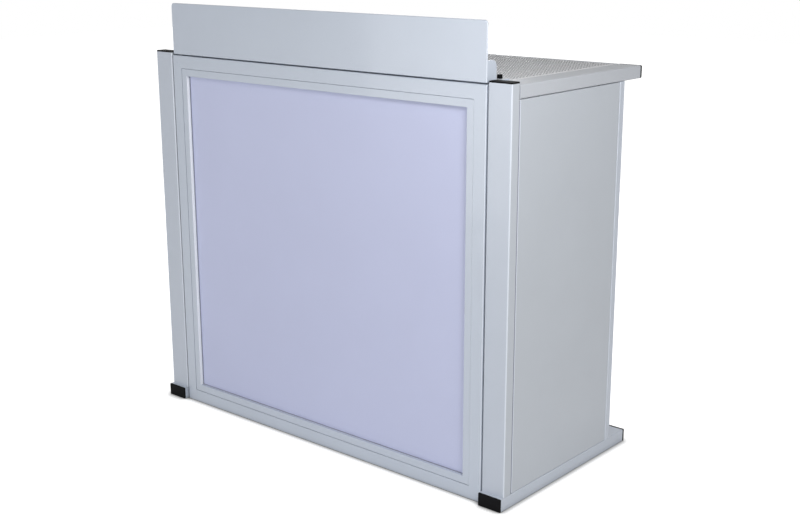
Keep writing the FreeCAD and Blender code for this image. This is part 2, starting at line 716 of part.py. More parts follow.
def fascia():
    body = new_body()
    plate = sketch_on(body, "XZ_Plane")
    rectangle(plate, f"-{FASCIA_HALF}", FASCIA_HALF, "0", "fascia_height")
    pad(body, plate, "fascia_thickness", reverse=True)
    flange = sketch_on(body, "XY_Plane")
    rectangle(flange, f"-{FASCIA_HALF}", FASCIA_HALF, "0", "ear_depth")
    pad(body, flange, "fascia_thickness")
    for side in (1, -1):
        ear = sketch_on(body, "YZ_Plane", f"{side} * {FASCIA_HALF}")
        rectangle(ear, "0", "ear_depth", "0", "ear_height")
        pad(body, ear, "fascia_thickness", reverse=side > 0)
        foot = sketch_on(body, "XY_Plane")
        rectangle(foot, *span(side, f"{FASCIA_HALF} - foot_width", FASCIA_HALF), "0", FOOT_DEPTH)
        pad(body, foot, "fascia_thickness")
    round_edges(body, "fascia_corner", lambda e: runs_along(e, 1) and near(e.CenterOfMass.z, "fascia_height"))
    round_edges(body, "ear_corner", lambda e: runs_along(e, 0) and near(e.CenterOfMass.z, "ear_height")
                and near(e.CenterOfMass.y, "ear_depth"))
    round_edges(body, "foot_corner", lambda e: runs_along(e, 2) and near(e.CenterOfMass.y, FOOT_DEPTH))
    round_edges(body, "fascia_bend", lambda e: near(e.CenterOfMass.y, "0")
                and (runs_along(e, 2) or runs_along(e, 0) and near(e.CenterOfMass.z, "0")))
    holes = sketch_on(body, "XY_Plane")
    for side in (1, -1):
        circle(holes, f"{side} * {KNOB_X}", f"{KNOB_Y} - fascia_setback", STUD_HOLE)
    pocket(body, holes, "fascia_thickness", reverse=True)
    node("fascia_plate", place(body, "0", "fascia_setback", "table_height"))


def thumb_screw(side, name):
    x = f"{side} * {KNOB_X}"
    body = new_body()
    disc = sketch_on(body, "XY_Plane")
    circle(disc, "0", "0", "knob_radius")
    pad(body, disc, "knob_height")
    round_edges(body, "knob_round", lambda e: near(e.CenterOfMass.z, "knob_height"))
    groove = sketch_on(body, "XY_Plane")
    circle(groove, "knob_radius + flute_radius / 2", "0", "flute_radius")
    first = pocket(body, groove, "knob_height", reverse=True)
    flutes = body.newObject("PartDesign::PolarPattern", "Flutes")
    flutes.Originals = [first]
    flutes.Axis = (next(item for item in body.Origin.OriginFeatures if item.Role == "Z_Axis"), [""])
    flutes.Occurrences = FLUTE_COUNT
    body.Tip = flutes
    doc.recompute()
    socket = sketch_on(body, "XY_Plane")
    circle(socket, "0", "0", "stud_radius")
    pocket(body, socket, "stud_grip", reverse=True)
    node(f"{name}_thumb_knob", place(body, x, KNOB_Y, FOOT_TOP))
    stud = rod("stud_radius", x, KNOB_Y, f"{FOOT_TOP} - stud_length", f"{FOOT_TOP} + stud_grip")
    node(f"{name}_thumb_stud", stud)


# The whole booth

def main():
    front_frame()
    bezels()
    corner_keys()
    diffuser()
    for side, name in ((1, "right"), (-1, "left")):
        hinges(side, name)
        wing(side, name)
    table()
    fascia()
    for side, name in ((1, "right"), (-1, "left")):
        thumb_screw(side, name)
    doc.recompute()
    for thing in doc.Objects:
        if "Invalid" in thing.State or "Error" in thing.State:
            raise RuntimeError(f"{thing.Label} did not compute")
    os.makedirs("parts", exist_ok=True)
    for label, thing in NODES.items():
        if thing.Shape.isNull() or not thing.Shape.isValid():
            raise RuntimeError(f"{label} has no valid shape")
        thing.Shape.exportStep(f"parts/{label}.step")


main()
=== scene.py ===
import json
import math

import bmesh
import bpy
from bpy.props import FloatProperty, FloatVectorProperty, IntProperty, PointerProperty
from mathutils import Matrix, Vector


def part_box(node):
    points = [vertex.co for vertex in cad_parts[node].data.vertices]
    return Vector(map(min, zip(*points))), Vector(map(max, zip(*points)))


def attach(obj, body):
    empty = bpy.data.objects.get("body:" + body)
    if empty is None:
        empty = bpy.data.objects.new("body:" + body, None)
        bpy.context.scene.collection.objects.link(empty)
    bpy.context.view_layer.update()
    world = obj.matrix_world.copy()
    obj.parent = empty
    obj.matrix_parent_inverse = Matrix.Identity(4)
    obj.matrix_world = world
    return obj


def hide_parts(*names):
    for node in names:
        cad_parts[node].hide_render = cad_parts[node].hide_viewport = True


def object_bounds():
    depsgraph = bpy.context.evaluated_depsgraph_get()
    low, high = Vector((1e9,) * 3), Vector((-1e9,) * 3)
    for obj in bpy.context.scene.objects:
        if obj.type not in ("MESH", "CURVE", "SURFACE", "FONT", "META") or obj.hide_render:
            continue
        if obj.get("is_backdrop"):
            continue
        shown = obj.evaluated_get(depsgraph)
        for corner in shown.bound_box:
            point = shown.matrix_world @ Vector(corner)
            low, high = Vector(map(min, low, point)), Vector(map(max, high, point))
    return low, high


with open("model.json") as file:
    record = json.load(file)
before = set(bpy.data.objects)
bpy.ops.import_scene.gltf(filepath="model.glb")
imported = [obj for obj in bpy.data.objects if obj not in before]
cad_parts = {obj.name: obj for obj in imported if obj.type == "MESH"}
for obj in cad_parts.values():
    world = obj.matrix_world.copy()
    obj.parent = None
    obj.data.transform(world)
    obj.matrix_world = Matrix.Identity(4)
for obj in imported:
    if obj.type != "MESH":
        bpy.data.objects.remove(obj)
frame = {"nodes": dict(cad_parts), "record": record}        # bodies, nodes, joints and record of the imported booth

bl_info = {
    "name": "Folding DJ Booth",
    "version": (1, 0, 0),
    "blender": (4, 5, 0),
    "location": "3D View > Sidebar > Booth",
    "description": "Finishes, perforated table, small fittings and studio of a folding DJ booth",
    "category": "Object",
}

NODES = frame["nodes"]
BODY_OF = {node: body for body, nodes in frame["record"]["behaviour"]["bodies"].items() for node in nodes}
SLOT_OF = {part["node"]: part["material_slot"] for part in frame["record"]["subparts"]}
SIDES = ("left", "right")
INWARD = {"top": (0, 0, -1), "bottom": (0, 0, 1), "left": (1, 0, 0), "right": (-1, 0, 0)}
FRAME_UPRIGHTS = ("front_frame_left", "front_frame_right", "bezel_left", "bezel_right")
# Nodes whose rounded upright edges get a painted highlight
PAINTED_HIGHLIGHT_ENDS = ("_post", "_rear_stile", "front_frame_left", "front_frame_right", "fascia_plate")
MATERIAL_NAMES = {}      # material of each finish, filled in by the first operator

# Parts of a face's normal
FACING = 0.9             # above this, a face looks along an axis
RIM_FACING = 0.95        # the same beside the coarse rims of the side panels
UPRIGHT = 0.3            # below this along Z, a face stands upright

# Mesh work
WELD_DISTANCE = 1e-5
FLAT_ANGLE = math.radians(0.2)
SHARP_ANGLE = math.radians(35)
EASE_SEGMENTS = 2
ROW_DEPTH = math.sin(math.radians(60))      # of staggered holes, in pitches
BEND_STEPS = 4

# Rivet heads
HEAD_HEIGHT = 0.35       # in radii
DIMPLE_DEPTH = 0.45      # in heights
DIMPLE_LIP = 0.02        # in heights
DIMPLE_FLOOR = 0.8       # in radii of the dimple
DOME_STEPS = 5
TURN_STEPS = 20

# Finishes and stage
FLAKES_PER_GRAIN = 2.2
LINE_STRENGTH = 0.003
LINES_ALONG = 3.0
LINES_ACROSS = 1800.0
CLEAR_ROUGHNESS = 0.08
# Power on the floor's occlusion, for its painted contact shadow
CONTACT_SHADE_DEPTH = 1.7
FLOOR_REACH = 12
SENSOR_WIDTH = 36
CLIP_END = 60


# Settings that a user would change

def length(name, description, default):
    return FloatProperty(name=name, description=description, default=default, unit="LENGTH", precision=4)


def share(name, description, default):
    return FloatProperty(name=name, description=description, default=default, min=0, max=1, subtype="FACTOR")


def colour(name, description, default):
    return FloatVectorProperty(name=name, description=description, default=default, size=3, min=0, max=1,
                               subtype="COLOR")


def spot(name, description, default):
    return FloatVectorProperty(name=name, description=description, default=default, size=3,
                               subtype="TRANSLATION", unit="LENGTH")


def power(name, description, default):
    return FloatProperty(name=name, description=description, default=default, min=0, subtype="POWER")


class BoothFinishes(bpy.types.PropertyGroup):
    """Colours and gloss of the booth's surfaces."""
    silver: colour("Silver coat", "Coated steel tubes of the sides", (0.508, 0.552, 0.627))
    # Painted highlight: a paler colour on the rounded upright edges, standing in for the light these corners catch
    edge: colour("Pale edge", "Upright rounded edges of posts, frame, panels and fascia", (0.69, 0.735, 0.81))
    table: colour("Table coat", "Coated steel tubes of the table", (0.527, 0.55, 0.589))
    aluminium: colour("Frame", "Anodised front frame, bezels and fascia", (0.516, 0.567, 0.65))
    # Painted highlight: near white on the side bezels' inner walls, standing in for the light they catch from the
    # right
    lip: colour("Bezel lip", "Pale inner edge of the bezels", (0.95, 0.98, 1.0))
    # Dark seal colour; on the side panels' front edges it is painted shade in the joints to the posts
    gasket: colour("Gasket", "Seal of the diffuser and edges inside the panel joints", (0.33, 0.34, 0.42))
    side: colour("Side panel", "Coated sheet in the sides", (0.505, 0.538, 0.585))
    sheet: colour("Table sheet", "Perforated sheet of the table", (0.805, 0.808, 0.83))
    # Painted shade: the hole walls are darker than the sheet, standing in for the shade inside the holes
    hole: colour("Hole walls", "Punched walls of the holes in the table sheet", (0.395, 0.398, 0.41))
    diffuser: colour("Diffuser", "Translucent front", (0.56, 0.592, 0.786))
    plastic: colour("Black plastic", "Plugs, caps and knobs", (0.006, 0.006, 0.007))
    rubber: colour("Black rubber", "Pads and seal", (0.012, 0.012, 0.012))
    steel: colour("Plated steel", "Hinges, rivets and studs", (0.56, 0.57, 0.58))
    coat_roughness: share("Coat roughness", "Sheen of the coated tubes and panels", 0.4)
    frame_roughness: share("Frame roughness", "Sheen of the anodised frame", 0.38)


class BoothSizes(bpy.types.PropertyGroup):
    """Sizes of the forms that are modelled here."""
    hole_pitch: length("Hole pitch", "Between neighbouring holes of the table sheet", 0.0077)
    hole_diameter: length("Hole diameter", "Holes of the table sheet", 0.0054)
    hole_sides: IntProperty(name="Hole sides", description="Flats round each hole", default=8, min=6, max=24)
    sheet_margin: length("Sheet margin", "Least plain border of the table sheet", 0.006)
    sheet_thickness: length("Sheet thickness", "Table sheet", 0.002)
    sheet_bend: length("Sheet bend", "Outer radius of the sheet's folded edge", 0.003)
    tube_edge: length("Tube edge", "Soft edge at the ends of tubes", 0.0004)
    panel_edge: length("Panel edge", "Soft edge round the fascia and the diffuser", 0.0012)
    panel_rim: length("Panel rim", "Soft edge round the side panels", 0.0022)
    panel_gap: length("Panel gap", "Between the side panels and the table's rails", 0.001)
    panel_joint: length("Panel joint", "Between the side panels and the posts", 0.0013)
    mitre_edge: length("Mitre edge", "Soft edge along the mitres of the frame", 0.00015)
    gasket_width: length("Gasket width", "Thin seal round the front of the diffuser", 0.0008)
    gasket_depth: length("Gasket depth", "How far that seal stands out from the diffuser", 0.0028)
    cap_head: length("Cap head", "Depth of the black heads at the rear ends of the rails", 0.0075)
    rivet_dimple: length("Rivet dimple", "Radius of the hollow in a rivet head", 0.0011)


class BoothStage(bpy.types.PropertyGroup):
    """Camera, lamps and floor."""
    camera_place: spot("Camera", "Where the camera stands", (2.1314, -2.4362, 1.3186))
    camera_azimuth: FloatProperty(name="Azimuth", description="Camera's turn about Z from looking along Y",
                                  default=math.radians(40.485), subtype="ANGLE")
    camera_elevation: FloatProperty(name="Elevation", description="How far the camera looks down",
                                    default=math.radians(14.949), subtype="ANGLE")
    camera_roll: FloatProperty(name="Roll", description="Camera's turn about its own line of sight",
                               default=math.radians(-0.107), subtype="ANGLE")
    lens: FloatProperty(name="Lens", description="Focal length on a 36 mm wide sensor", default=55.3,
                        subtype="DISTANCE_CAMERA")
    aim: spot("Aim", "Point that the lamps face", (0, 0, 0.55))
    key_place: spot("Key place", "Lamp at the right, above", (2.0, -1.1, 1.65))
    key_size: length("Key size", "Lamp at the right, above", 0.6)
    key_power: power("Key power", "Lamp at the right, above", 20)
    near_place: spot("Near place", "Small lamp close to the right front", (1.0, -0.9, 1.5))
    near_size: length("Near size", "Small lamp close to the right front", 0.4)
    near_power: power("Near power", "Small lamp close to the right front", 3.2)
    sheen_place: spot("Sheen place", "Low lamp that the satin coats mirror", (-1.1, -2.55, 0.65))
    sheen_size: length("Sheen size", "Low lamp that the satin coats mirror", 1.2)
    sheen_power: power("Sheen power", "Low lamp that the satin coats mirror", 10)
    front_place: spot("Front place", "Wide soft lamp in front", (-0.2, -3.4, 0.9))
    front_size: length("Front size", "Wide soft lamp in front", 1.6)
    front_power: power("Front power", "Wide soft lamp in front", 17.5)
    side_place: spot("Side place", "Soft lamp at the right side", (2.65, 0.6, 1.3))
    side_size: length("Side size", "Soft lamp at the right side", 1.2)
    side_power: power("Side power", "Soft lamp at the right side", 7.5)
    rear_place: spot("Rear place", "Soft lamp behind, at the left", (-2.2, 2.6, 0.7))
    rear_size: length("Rear size", "Soft lamp behind, at the left", 1.4)
    rear_power: power("Rear power", "Soft lamp behind, at the left", 40)
    ambient: share("Ambient", "Light from the surroundings", 0.26)
    near_glow: share("Near glow", "Floor's own brightness beside the booth", 0.7)
    glow_reach: length("Glow reach", "Distance from the booth at which the floor is fully white", 0.25)
    # Reach of the painted contact shadow on the floor
    contact_shade_reach: length("Contact reach", "Width of the dark line where the booth meets the floor", 0.021)
    floor: colour("Floor", "Pale floor", (0.8, 0.8, 0.8))


# Meshes

def new_piece(name, mesh_source, material, body):
    """Object made from a bmesh, with its finish, riding on a body of the booth."""
    mesh = bpy.data.meshes.new(name)
    mesh_source.to_mesh(mesh)
    mesh_source.free()
    mesh.shade_smooth()
    mesh.set_sharp_from_angle(angle=SHARP_ANGLE)
    piece = bpy.data.objects.new(name, mesh)
    bpy.context.scene.collection.objects.link(piece)
    mesh.materials.append(material)
    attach(piece, body)
    return piece


def merged_copy(node):
    """Mesh of a node with its loose triangles merged into whole faces."""
    work = bmesh.new()
    work.from_mesh(NODES[node].data)
    bmesh.ops.remove_doubles(work, verts=work.verts, dist=WELD_DISTANCE)
    bmesh.ops.dissolve_limit(work, angle_limit=FLAT_ANGLE, verts=work.verts, edges=work.edges)
    return work


def material_of(finish):
    """Material that the first operator made for a finish."""
    return bpy.data.materials[MATERIAL_NAMES[finish]]


def paint(piece, finish, faces):
    """Give some faces of a piece a finish of their own."""
    piece.data.materials.append(material_of(finish))
    for face in faces:
        face.material_index = len(piece.data.materials) - 1


def painted_edge_highlights(piece, limit=FACING):
    """Paint a highlight on the faces that round a piece's upright edges, as a paler finish."""
    paint(piece, "pale_edge", [
        face for face in piece.data.polygons
        if abs(face.normal.z) < UPRIGHT and max(abs(face.normal.x), abs(face.normal.y)) < limit
    ])


def softened(node, width, material, *moves):
    """Piece that stands for a node, with its sharp edges eased.

    Each move shifts what lies at one level of an axis.
    """
    work = merged_copy(node)
    for axis, level, shift in moves:
        way = Vector((0, 0, 0))
        setattr(way, axis, shift)
        there = [vert for vert in work.verts if abs(getattr(vert.co, axis) - level) < WELD_DISTANCE]
        bmesh.ops.translate(work, vec=way, verts=there)
    sharp = [edge for edge in work.edges if edge.calc_face_angle(0) > SHARP_ANGLE]
    bmesh.ops.bevel(work, geom=sharp, offset=width, offset_type="OFFSET", affect="EDGES",
                    segments=EASE_SEGMENTS, profile=0.5, clamp_overlap=True, material=-1)
    piece = new_piece(f"{node}.eased", work, material, BODY_OF[node])
    flat = piece.modifiers.new("Flat faces", "WEIGHTED_NORMAL")
    flat.mode = "FACE_AREA"
    flat.keep_sharp = True
    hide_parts(node)
    return piece


def islands(node):
    """Lowest and highest corners of each separate solid of a node."""
    work = bmesh.new()
    work.from_mesh(NODES[node].data)
    bmesh.ops.remove_doubles(work, verts=work.verts, dist=WELD_DISTANCE)
    left = set(work.verts)
    boxes = []
    while left:
        found = [left.pop()]
        for vert in found:
            for edge in vert.link_edges:
                other = edge.other_vert(vert)
                if other in left:
                    left.remove(other)
                    found.append(other)
        low = Vector([min(vert.co[axis] for vert in found) for axis in range(3)])
        high = Vector([max(vert.co[axis] for vert in found) for axis in range(3)])
        boxes.append((low, high))
    work.free()
    return boxes


def only(kind, items):
    """Items of one kind."""
    return [item for item in items if isinstance(item, kind)]


def repeat(work, pattern, count, step):
    """Pattern and its copies in a row, each one step on from the last."""
    everything = list(pattern)
    for index in range(1, count):
        copy = bmesh.ops.duplicate(work, geom=pattern)["geom"]
        bmesh.ops.translate(work, vec=step * index, verts=only(bmesh.types.BMVert, copy))
        everything += copy
    return everything


# Node groups and materials

def add_node(tree, kind, values=None, **settings):
    """Node with its settings, and with values on its own sockets."""
    node = tree.nodes.new(kind)
    for name, setting in settings.items():
        setattr(node, name, setting)
    for socket, number in (values or {}).items():
        node.inputs[socket].default_value = number
    return node


def new_group(name, inputs, outputs):
    """Shader node group with named sockets, and its two end nodes."""
    tree = bpy.data.node_groups.new(name, "ShaderNodeTree")
    for socket, kind, default in inputs:
        item = tree.interface.new_socket(name=socket, in_out="INPUT", socket_type=f"NodeSocket{kind}")
        if default is not None:
            item.default_value = default
    for socket, kind in outputs:
        tree.interface.new_socket(name=socket, in_out="OUTPUT", socket_type=f"NodeSocket{kind}")
    return tree, tree.nodes.new("NodeGroupInput"), tree.nodes.new("NodeGroupOutput")


def coat_group():
    """Fine orange-peel grain, metal flake and broad tint of a sprayed or anodised coat."""
    tree, start, end = new_group("Coat", [
        ("Vector", "Vector", None),
        ("Color", "Color", (0.5, 0.5, 0.5, 1)),
        ("Roughness", "Float", 0.4),
        ("Grain Scale", "Float", 900.0),
        ("Tint Amount", "Float", 0.05),
    ], [("Color", "Color"), ("Roughness", "Float"), ("Height", "Float")])
    link = tree.links.new
    peel = add_node(tree, "ShaderNodeTexNoise", {"Detail": 3.0, "Roughness": 0.55})
    flake = add_node(tree, "ShaderNodeTexVoronoi", {"Randomness": 1.0})
    flake_scale = add_node(tree, "ShaderNodeMath", {1: FLAKES_PER_GRAIN}, operation="MULTIPLY")
    broad = add_node(tree, "ShaderNodeTexNoise", {"Scale": 2.3, "Detail": 4.0, "Roughness": 0.6})
    smudge = add_node(tree, "ShaderNodeTexNoise", {"Scale": 11.0, "Detail": 6.0, "Roughness": 0.65,
                                                   "Distortion": 0.6})
    for texture in (peel, flake, broad, smudge):
        link(start.outputs["Vector"], texture.inputs["Vector"])
    link(start.outputs["Grain Scale"], peel.inputs["Scale"])
    link(start.outputs["Grain Scale"], flake_scale.inputs[0])
    link(flake_scale.outputs[0], flake.inputs["Scale"])

    light = add_node(tree, "ShaderNodeMix", {"Factor": 1.0}, data_type="RGBA", blend_type="MULTIPLY")
    tone = add_node(tree, "ShaderNodeMapRange", {"From Min": 0.3, "From Max": 0.7, "To Max": 1.0})
    low = add_node(tree, "ShaderNodeMath", {0: 1.0}, operation="SUBTRACT")
    link(start.outputs["Tint Amount"], low.inputs[1])
    link(low.outputs[0], tone.inputs["To Min"])
    link(broad.outputs["Fac"], tone.inputs["Value"])
    link(start.outputs["Color"], light.inputs["A"])
    link(tone.outputs["Result"], light.inputs["B"])

    spark = add_node(tree, "ShaderNodeMapRange", {"From Min": 0.0, "From Max": 0.9,
                                                  "To Min": 1.035, "To Max": 0.965})
    sparkle = add_node(tree, "ShaderNodeMix", {"Factor": 1.0}, data_type="RGBA", blend_type="MULTIPLY")
    link(flake.outputs["Distance"], spark.inputs["Value"])
    link(light.outputs["Result"], sparkle.inputs["A"])
    link(spark.outputs["Result"], sparkle.inputs["B"])
    link(sparkle.outputs["Result"], end.inputs["Color"])

    gloss = add_node(tree, "ShaderNodeMapRange", {"From Min": 0.3, "From Max": 0.7,
                                                  "To Min": -0.035, "To Max": 0.045})
    total = add_node(tree, "ShaderNodeMath", operation="ADD")
    link(smudge.outputs["Fac"], gloss.inputs["Value"])
    link(start.outputs["Roughness"], total.inputs[0])
    link(gloss.outputs["Result"], total.inputs[1])
    link(total.outputs[0], end.inputs["Roughness"])
    link(peel.outputs["Fac"], end.inputs["Height"])


def lines_group():
    """Fine drawn lines along a piece; the mapping before it gives their direction."""
    tree, start, end = new_group("Drawn lines", [("Vector", "Vector", None)], [("Value", "Float")])
    fine = add_node(tree, "ShaderNodeTexNoise", {"Scale": 1.0, "Detail": 5.0, "Roughness": 0.7})
    tree.links.new(start.outputs["Vector"], fine.inputs["Vector"])
    tree.links.new(fine.outputs["Fac"], end.inputs["Value"])


def new_material(name):
    """Empty material with a Principled shader, and its node tree."""
    material = bpy.data.materials.new(name)
    material.use_nodes = True
    tree = material.node_tree
    return material, tree, tree.nodes["Principled BSDF"]


def coated(name, base, roughness, metallic=0.0, tint=0.05, grain=900.0, bump=0.08, grain_depth=0.00004,
           stretch=None, specular=0.5, coat=0.0):
    """Coated, anodised or moulded surface.

    A stretch gives fine drawn lines, long along the axis with the small number.
    """
    material, tree, shader = new_material(name)
    link = tree.links.new
    place = add_node(tree, "ShaderNodeTexCoord")
    skin = add_node(tree, "ShaderNodeGroup", node_tree=bpy.data.node_groups["Coat"])
    skin.inputs["Color"].default_value = (*base, 1)
    skin.inputs["Roughness"].default_value = roughness
    skin.inputs["Grain Scale"].default_value = grain
    skin.inputs["Tint Amount"].default_value = tint
    link(place.outputs["Object"], skin.inputs["Vector"])
    relief = add_node(tree, "ShaderNodeBump", {"Strength": bump, "Distance": grain_depth})
    link(skin.outputs["Height"], relief.inputs["Height"])
    link(skin.outputs["Color"], shader.inputs["Base Color"])
    link(skin.outputs["Roughness"], shader.inputs["Roughness"])
    last = relief
    if stretch:
        turn = add_node(tree, "ShaderNodeMapping", {"Scale": stretch})
        drawn = add_node(tree, "ShaderNodeGroup", node_tree=bpy.data.node_groups["Drawn lines"])
        fine = add_node(tree, "ShaderNodeBump", {"Strength": LINE_STRENGTH, "Distance": grain_depth})
        link(place.outputs["Object"], turn.inputs["Vector"])
        link(turn.outputs["Vector"], drawn.inputs["Vector"])
        link(drawn.outputs["Value"], fine.inputs["Height"])
        link(relief.outputs["Normal"], fine.inputs["Normal"])
        last = fine
    link(last.outputs["Normal"], shader.inputs["Normal"])
    shader.inputs["Metallic"].default_value = metallic
    shader.inputs["Specular IOR Level"].default_value = specular
    shader.inputs["Coat Weight"].default_value = coat
    shader.inputs["Coat Roughness"].default_value = CLEAR_ROUGHNESS
    return material


def build_materials(finishes):
    """Every finish of the booth by its slot, with the drawn lines of the frame in two directions."""
    coat_group()
    lines_group()
    along_x = (LINES_ALONG, LINES_ACROSS, LINES_ACROSS)
    along_z = (LINES_ACROSS, LINES_ACROSS, LINES_ALONG)
    rough = finishes.coat_roughness
    frame_rough = finishes.frame_roughness
    return {
        "silver_coat": coated("silver_coat", finishes.silver, rough, coat=0.2),
        "table_coat": coated("table_coat", finishes.table, rough, specular=0.1),
        "frame_aluminium": coated("frame_aluminium_x", finishes.aluminium, frame_rough,
                                  stretch=along_x, coat=0.3),
        "frame_upright": coated("frame_aluminium_z", finishes.aluminium, frame_rough,
                                stretch=along_z, coat=0.3),
        # Painted highlight for the rounded upright edges
        "pale_edge": coated("pale_edge", finishes.edge, rough, coat=0.3),
        # Seal colour, also used as painted shade on the side panels' joint edges
        "gasket": coated("gasket", finishes.gasket, roughness=0.7, specular=0.2),
        # Painted highlight for the side bezels' inner walls
        "bezel_lip": coated("bezel_lip", finishes.lip, roughness=0.4, specular=0.3),
        "side_panel": coated("side_panel", finishes.side, rough, specular=0.2, coat=0.2),
        "perforated_sheet": coated("perforated_sheet", finishes.sheet, roughness=0.6, specular=0.2),
        # Painted shade for the walls of the holes
        "hole_wall": coated("hole_wall", finishes.hole, roughness=0.7, specular=0.1),
        "diffuser": coated("diffuser", finishes.diffuser, roughness=0.5, tint=0.035, grain=1400.0,
                           bump=0.05, grain_depth=0.00003, specular=0.25),
        "black_plastic": coated("black_plastic", finishes.plastic, roughness=0.65, tint=0.3, grain=1500.0,
                                bump=0.25, grain_depth=0.0001, specular=0.06),
        "black_rubber": coated("black_rubber", finishes.rubber, roughness=0.8, tint=0.3, grain=1200.0,
                               bump=0.35, grain_depth=0.0002, specular=0.15),
        "bright_steel": coated("bright_steel", finishes.steel, roughness=0.3, metallic=1.0, tint=0.12,
                               grain=500.0, bump=0.1),
    }


def finish_of(node):
    """Material of a node, from the slot that its record gives."""
    slot = SLOT_OF[node]
    if node in FRAME_UPRIGHTS:
        slot = "frame_upright"
    if slot == "silver_coat" and BODY_OF[node] == "table":
        slot = "table_coat"
    return material_of(slot)


# Operators

class BOOTH_OT_finishes(bpy.types.Operator):
    """Give every piece of the frame its material"""
    bl_idname = "booth.finishes"
    bl_label = "Finishes"

    def execute(self, context):
        for slot, material in build_materials(context.scene.booth_finishes).items():
            MATERIAL_NAMES[slot] = material.name
        for node, thing in NODES.items():
            for holder in thing.material_slots:
                holder.material = finish_of(node)
        return {"FINISHED"}


class BOOTH_OT_soft_edges(bpy.types.Operator):
    """Ease the sharp edges of tubes, panels, frame and fascia"""
    bl_idname = "booth.soft_edges"
    bl_label = "Soft edges"

    def execute(self, context):
        sizes = context.scene.booth_sizes
        tubes = ["table_front_rail", "table_rear_rail", "table_stiffeners"]
        panels = ["fascia_plate", "diffuser_panel"]
        for side in SIDES:
            tubes += [f"{side}_{name}" for name in ("post", "rear_stile", "top_bearer")]
        strips = [f"front_frame_{edge}" for edge in INWARD]
        groups = ((tubes, sizes.tube_edge), (panels, sizes.panel_edge), (strips, sizes.mitre_edge))
        for nodes, width in groups:
            for node in nodes:
                piece = softened(node, width, finish_of(node))
                # Rounded upright edges of these nodes get a painted highlight
                if node.endswith(PAINTED_HIGHLIGHT_ENDS):
                    painted_edge_highlights(piece)
                if node.endswith("_post"):
                    # Painted shade: the posts' side faces take the darker side panel finish, standing in for the
                    # shade on that side
                    walls = [face for face in piece.data.polygons if abs(face.normal.x) > FACING]
                    paint(piece, "side_panel", walls)
                if node == "fascia_plate":
                    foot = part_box("right_thumb_knob")[0].z + WELD_DISTANCE
                    paint(piece, "table_coat", [face for face in piece.data.polygons
                                                if face.normal.z > FACING and face.center.z < foot])
        return {"FINISHED"}


class BOOTH_OT_side_panels(bpy.types.Operator):
    """Make the side panels, with narrow gaps to the posts and the table's rails"""
    bl_idname = "booth.side_panels"
    bl_label = "Side panels"

    def execute(self, context):
        sizes = context.scene.booth_sizes
        for side in SIDES:
            node = f"{side}_side_panel"
            low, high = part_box(node)
            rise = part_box(f"{side}_table_rail")[0].z - sizes.panel_gap - high.z
            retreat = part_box(f"{side}_post")[1].y + sizes.panel_joint - low.y
            moves = (("z", high.z, rise), ("y", low.y, retreat))
            piece = softened(node, sizes.panel_rim, finish_of(node), *moves)
            # Painted highlight on the panel's rounded rims
            painted_edge_highlights(piece, RIM_FACING)
            # Painted shade: the panel's front edge faces take the dark seal colour, standing in for the shade in
            # the joint to the post
            painted_joint_shade = [face for face in piece.data.polygons if face.normal.y < -FACING]
            paint(piece, "gasket", painted_joint_shade)
        return {"FINISHED"}


class BOOTH_OT_rear_caps(bpy.types.Operator):
    """Make the rails of table and base with the deep heads of their rear caps"""
    bl_idname = "booth.rear_caps"
    bl_label = "Rear caps"

    def execute(self, context):
        sizes = context.scene.booth_sizes
        for side in SIDES:
            for rail, cap in ((f"{side}_table_rail", f"{side}_table_rail_cap"),
                              (f"{side}_base_rail", f"{side}_base_rear_plug")):
                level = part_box(rail)[1].y
                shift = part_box(cap)[1].y - level - sizes.cap_head
                for node in (rail, cap):
                    softened(node, sizes.tube_edge, finish_of(node), ("y", level, shift))
        return {"FINISHED"}


class BOOTH_OT_bezels(bpy.types.Operator):
    """Ease the bezels' edges, and paint a highlight on the side bezels' rounded edges and inner walls"""
    bl_idname = "booth.bezels"
    bl_label = "Bezels"

    def execute(self, context):
        width = context.scene.booth_sizes.mitre_edge
        for edge, inward in INWARD.items():
            node = f"bezel_{edge}"
            piece = softened(node, width, finish_of(node))
            if edge in SIDES:
                # Painted highlight on the side bezels' rounded edges
                painted_edge_highlights(piece)
                # Painted highlight: the side bezels' inner walls take a near-white finish
                wall = [face for face in piece.data.polygons if face.normal.dot(Vector(inward)) > FACING]
                paint(piece, "bezel_lip", wall)
        return {"FINISHED"}


class BOOTH_OT_gasket(bpy.types.Operator):
    """Make the thin seal between the bezels and the front of the diffuser"""
    bl_idname = "booth.gasket"
    bl_label = "Gasket"

    def execute(self, context):
        sizes = context.scene.booth_sizes
        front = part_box("diffuser_panel")[0].y
        low = Vector((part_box("bezel_left")[1].x, front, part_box("bezel_bottom")[1].z))
        high = Vector((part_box("bezel_right")[0].x, front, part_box("bezel_top")[0].z))
        size = high - low
        work = bmesh.new()
        upright = Matrix.Rotation(math.pi / 2, 4, "X")
        bmesh.ops.create_grid(work, x_segments=1, y_segments=1, size=0.5, matrix=upright)
        bmesh.ops.scale(work, vec=(size.x, 1, size.z), verts=work.verts)
        bmesh.ops.translate(work, vec=(low + high) / 2, verts=work.verts)
        ring = bmesh.ops.inset_region(work, faces=list(work.faces), thickness=sizes.gasket_width,
                                      use_boundary=True, use_even_offset=True)["faces"]
        inner = [face for face in work.faces if face not in ring]
        bmesh.ops.delete(work, geom=inner, context="FACES")
        piece = new_piece("diffuser_gasket", work, material_of("gasket"), "front_panel")
        wall = piece.modifiers.new("Thickness", "SOLIDIFY")
        wall.thickness = sizes.gasket_depth
        wall.offset = 1
        return {"FINISHED"}


